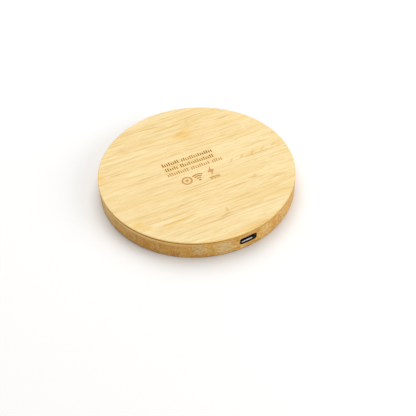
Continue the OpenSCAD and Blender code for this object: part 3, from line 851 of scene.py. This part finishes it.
def coil_place(g):
    """Angle round the axis, and angle round the wire, of a point on the two-layer winding."""
    x, y, z = g.parts(g.place)
    upper = g.fade(z, LAYERS_MEET - 0.0001, LAYERS_MEET + 0.0001, kind="LINEAR")
    middle_z = g.smooth(upper, 0.0, 1.0, LAYER_Z[0] * MM, LAYER_Z[1] * MM, kind="LINEAR")
    facing = g.product(y, g.smooth(upper, 0.0, 1.0, 1.0, -1.0, kind="LINEAR"))
    odd = g.math("GREATER_THAN", facing, 0.0)
    shift = g.product(odd, TURN_PITCH / 2 * MM)
    spot = g.joined(g.math("ADD", x, shift), y, 0.0)
    out = g.math("SUBTRACT", g.vector("LENGTH", spot), g.math("ADD", shift, COIL_R * MM))
    out = g.math("WRAP", out, TURN_PITCH / 2 * MM, -TURN_PITCH / 2 * MM)
    lead = g.fade(radius_of(g), WINDING_R, WINDING_R + 0.05)
    winding = g.math("SUBTRACT", 1.0, lead)
    off_lead = g.math("ADD", x, LEAD_X * MM)
    out = g.math("ADD", g.product(out, winding), g.product(off_lead, lead))
    round_wire = g.math("ARCTAN2", g.math("SUBTRACT", z, middle_z), out)
    on_arc = g.math("ARCTAN2", y, x)
    on_lead = g.math("DIVIDE", y, LEAD_X * MM)
    along = g.math("ADD", g.product(on_arc, winding), g.product(on_lead, lead))
    return along, round_wire


def litz_material():
    """Twisted enamelled strands, which run round the wire as they run along it, with painted shade
    between them.
    """
    g = Graph("litz_copper_look")
    along, round_wire = coil_place(g)
    twist = g.total(g.product(along, 44.0), g.product(round_wire, 9.0))
    strand = g.smooth(g.math("SINE", twist), -1.0, 1.0)
    tint = g.noise(g.joined(along, round_wire, 0.0), (0.06, 0.35, 1.0), detail=2.0, seed=7.0)
    copper = g.mix(g.smooth(tint, 0.3, 0.7), (0.80, 0.36, 0.15), (0.62, 0.23, 0.075))
    # Painted shade in the grooves between the strands.
    copper = g.mix(g.smooth(strand, 0.0, 0.5, 0.85, 0.0), copper, (0.16, 0.05, 0.015))
    broad = g.noise(g.place, 0.003, detail=2.0, seed=9.0)
    rough = g.smooth(broad, 0.3, 0.7, 0.26, 0.40)
    return g.finish(copper, rough, g.bump(strand, 0.00005, 0.9), Metallic=0.9, Coat_Weight=0.4)


def tape_material(name, seed):
    """Cream paper tape with long fibres, trapped bubbles and glossy adhesive."""
    g = Graph(name)
    size = (0.0035, 0.0002, 0.0002)
    turn = 31.0 * seed
    fibre = g.noise(g.mapped(g.place, turn=turn), size, detail=3.0, seed=seed)
    cross = g.noise(g.mapped(g.place, turn=turn + 80), size, detail=3.0, seed=seed + 4)
    cloud = g.noise(g.place, 0.006, detail=3.0, seed=seed + 8)
    tone = g.mix(g.smooth(cloud, 0.3, 0.7), (0.80, 0.74, 0.56), (0.72, 0.65, 0.46))
    tone = g.mix(g.smooth(fibre, 0.5, 0.7, 0.0, 0.7), tone, (0.88, 0.84, 0.70))
    tone = g.mix(g.smooth(cross, 0.52, 0.7, 0.0, 0.6), tone, (0.60, 0.52, 0.34))
    bubble = g.smooth(g.cells(g.place, 0.0024, seed=seed), 0.10, 0.20, 1.0, 0.0)
    tone = g.mix(g.product(bubble, 0.4), tone, (0.92, 0.90, 0.80))
    rough = g.smooth(fibre, 0.3, 0.7, 0.38, 0.62)
    return g.finish(tone, rough, g.bump(g.total(fibre, cross, bubble), 0.00001, 0.6))


def ferrite_material():
    """Sintered ferrite: near black, with bright grains, chips at its edge and fine cracks."""
    g = Graph("ferrite_look")
    tone, rough, fine = skin_tones(g, (0.020, 0.019, 0.019), (0.048, 0.045, 0.043), 0.50, 0.0002)
    grain = g.smooth(g.cells(g.place, 0.00035, seed=5.0), 0.08, 0.20, 1.0, 0.0)
    tone = g.mix(g.product(grain, 0.5), tone, (0.12, 0.115, 0.11))
    wander = g.noise(g.place, 0.004, out="Color")
    bent = g.vector("ADD", g.place, g.vector("MULTIPLY", wander, (0.003, 0.003, 0.0)))
    crack = g.cells(bent, (0.013, 0.013, 0.05), feature="DISTANCE_TO_EDGE", seed=2.0)
    crack = g.smooth(crack, 0.004, 0.012, 1.0, 0.0)
    tone = g.mix(g.product(crack, 0.8), tone, (0.004, 0.004, 0.004))
    rim = g.fade(radius_of(g), FERRITE_R - 0.4, FERRITE_R - 0.05)
    chip = g.product(rim, g.noise(g.place, 0.0012, detail=3.0, seed=30.0))
    tone = g.mix(g.smooth(chip, 0.45, 0.6, 0.0, 0.6), tone, (0.14, 0.13, 0.125))
    height = g.total(fine, g.product(crack, -1.5), g.product(chip, -0.8))
    return g.finish(tone, rough, g.bump(height, 0.00002, 0.7))


def film_material():
    """Amber adhesive film with wipe marks and small trapped bubbles."""
    g = Graph("adhesive_film_look")
    x, y, z = g.parts(g.place)
    sweep = g.joined(g.product(g.math("ARCTAN2", y, x), 0.047), radius_of(g), z)
    wipe = g.noise(sweep, (0.006, 0.0003, 0.0006), detail=3.0, seed=3.0)
    cloud = g.noise(g.place, 0.004, detail=3.0, seed=9.0)
    tone = g.mix(g.smooth(cloud, 0.3, 0.7), (0.30, 0.17, 0.055), (0.20, 0.105, 0.03))
    tone = g.mix(g.smooth(wipe, 0.5, 0.7, 0.0, 0.6), tone, (0.42, 0.27, 0.11))
    bubble = g.smooth(g.cells(g.place, 0.0009, seed=6.0), 0.12, 0.24, 1.0, 0.0)
    tone = g.mix(g.product(bubble, 0.4), tone, (0.50, 0.36, 0.18))
    rough = g.smooth(wipe, 0.3, 0.7, 0.22, 0.40)
    return g.finish(tone, rough, g.bump(g.total(wipe, bubble), 0.000012, 0.6))


def screw_material():
    """Zinc plated steel: turned rings on the head, painted shade in the cross recess, and a thread
    drawn in the material with painted shade in its grooves.
    """
    g = Graph("screw_steel_look")
    z = height_of(g)
    local = from_screw(g)
    reach = g.vector("LENGTH", local)
    along_rings = g.joined(reach, 0.0, g.product(z, 0.2))
    ring = g.noise(along_rings, (0.00006, 1.0, 0.0004), detail=2.0, seed=1.0)
    tone, rough = metal_tones(g, (0.66, 0.67, 0.69), (0.46, 0.47, 0.50), 0.28, 0.0004)[:2]
    tone = g.mix(g.smooth(ring, 0.45, 0.65, 0.0, 0.5), tone, (0.80, 0.80, 0.80))
    recess = g.product(g.fade(z, 8.50, 8.60, 1.0, 0.0), g.fade(z, 8.40, 8.44))
    cross = g.fade(reach, 0.9, 1.0, 0.75, 0.0)
    # Painted shade in the cross recess.
    tone = g.mix(g.product(recess, cross), tone, (0.10, 0.10, 0.105))
    across, along = g.parts(local)[:2]
    turned = g.product(g.math("ARCTAN2", along, across), 0.5 / math.pi)
    climb = g.math("DIVIDE", z, THREAD_PITCH * MM)
    thread = g.math("SINE", g.product(g.math("ADD", climb, turned), 2 * math.pi))
    shank = g.fade(z, 7.85, 7.95, 1.0, 0.0)
    groove = g.product(shank, g.smooth(thread, -1.0, 0.4, 1.0, 0.0))
    # Painted shade in the thread's grooves.
    tone = g.mix(g.product(groove, 0.8), tone, (0.16, 0.16, 0.17))
    height = g.total(g.product(ring, 0.2), g.product(groove, -1.0))
    return g.finish(tone, rough, g.bump(height, 0.00006, 0.8), Metallic=1.0)


# The material that each CAD node gets
MATERIALS = {
    "body": body_material,
    "cover": cover_material,
    "cover_adhesive": film_material,
    "usb_shell": shell_material,
    "usb_insulator": insulator_material,
    "usb_mid_plate": plate_material,
    "usb_contacts": contacts_material,
    "circuit_board": board_material,
    "controller_ic": lambda: package_material("controller_look", "controller_ic", 3.1, dot=(-2.2, 2.2)),
    "bridge_mosfets": lambda: package_material("mosfet_look", "bridge_mosfets", 2.0),
    "regulator": lambda: package_material("regulator_look", "regulator", 0.8, turned=True),
    "filter_inductor": choke_material,
    "input_capacitors": lambda: chip_material(
        "input_capacitor_look", "input_capacitors", (0.42, 0.27, 0.13), (0.52, 0.36, 0.19), 0.96
    ),
    "resonant_capacitors": lambda: chip_material(
        "resonant_capacitor_look", "resonant_capacitors", (0.62, 0.53, 0.36), (0.72, 0.64, 0.47), 0.96
    ),
    "chip_capacitors": lambda: chip_material(
        "chip_capacitor_look", "chip_capacitors", (0.45, 0.30, 0.15), (0.55, 0.39, 0.21), 0.48, True
    ),
    "chip_resistors": lambda: film_chip_material("chip_resistor_look", "chip_resistors", 0.48),
    "sense_resistor": lambda: film_chip_material("sense_resistor_look", "sense_resistor", 0.96),
    "thermistor": lambda: chip_material(
        "thermistor_look", "thermistor", (0.07, 0.16, 0.11), (0.13, 0.25, 0.18), 0.48
    ),
    "solder_joints": solder_material,
    "coil": litz_material,
    "coil_tape": lambda: tape_material("coil_tape_look", 1.0),
    "coil_bond": lambda: tape_material("coil_bond_look", 2.0),
    "ferrite_sheet": ferrite_material,
    "ferrite_tape": lambda: tape_material("ferrite_tape_look", 3.0),
    "board_screws": screw_material,
}


def dress():
    """Gives every CAD node its material."""
    for name, make in MATERIALS.items():
        look = make()
        for slot in nodes[name].material_slots:
            slot.material = look


# Stage -----------------------------------------------------------------------------------------


def floor():
    """A plain pale floor that the pad lies on."""
    half = 3.0
    drop = 0.00002
    mesh = bpy.data.meshes.new("floor")
    corners = [(-half, -half, 0), (half, -half, 0), (half, half, 0), (-half, half, 0)]
    mesh.from_pydata(corners, [], [(0, 1, 2, 3)])
    thing = bpy.data.objects.new("floor", mesh)
    thing.location.z = -drop
    bpy.context.scene.collection.objects.link(thing)
    g = Graph("floor_look")
    cloud = g.noise(g.place, 0.15, detail=2.0)
    colour = g.mix(cloud, (0.845, 0.84, 0.83), (0.825, 0.82, 0.81))
    mesh.materials.append(g.finish(colour, 0.8))


def area_light(name, place, size, power):
    """A square soft light that shines on the pad."""
    data = bpy.data.lights.new(name, "AREA")
    data.shape = "SQUARE"
    data.size = size
    data.energy = power
    thing = bpy.data.objects.new(name, data)
    bpy.context.scene.collection.objects.link(thing)
    thing.location = place
    thing.rotation_mode = "QUATERNION"
    thing.rotation_quaternion = (-Vector(place)).to_track_quat("-Z", "Y")


def lights():
    """An even pale surround, a large light overhead and a small one in front at the right."""
    world = bpy.data.worlds.new("studio")
    bpy.context.scene.world = world
    world.use_nodes = True
    background = world.node_tree.nodes["Background"]
    background.inputs["Color"].default_value = (1.0, 1.0, 1.0, 1.0)
    background.inputs["Strength"].default_value = 0.52
    area_light("overhead", (0.2, 0.45, 0.95), 1.0, 9.0)
    area_light("front_right", (0.55, -0.72, 0.42), 0.6, 4.5)


def camera():
    """The camera at the photograph's angle, slightly rolled."""
    elevation = math.radians(46.079)
    azimuth = math.radians(-27.95)
    roll = math.radians(-2.576)
    aim = Vector((-0.00389, -0.01802, 0.0))
    distance = 0.37546
    turn = Matrix.Rotation(azimuth, 3, "Z")
    back = turn @ Vector((0, -math.cos(elevation), math.sin(elevation)))
    right = turn @ Vector((1, 0, 0))
    up = back.cross(right)
    rolled_right = math.cos(roll) * right + math.sin(roll) * up
    rolled_up = -math.sin(roll) * right + math.cos(roll) * up
    data = bpy.data.cameras.new("camera")
    data.sensor_width = 36.0
    data.lens = 64.9
    data.clip_start = 0.01
    data.clip_end = 20.0
    thing = bpy.data.objects.new("camera", data)
    bpy.context.scene.collection.objects.link(thing)
    place = Matrix((rolled_right, rolled_up, back)).transposed().to_4x4()
    place.translation = aim + back * distance
    thing.matrix_world = place
    bpy.context.scene.camera = thing


camera()
floor()
lights()
dress()
bpy.context.scene.view_settings.view_transform = "Standard"
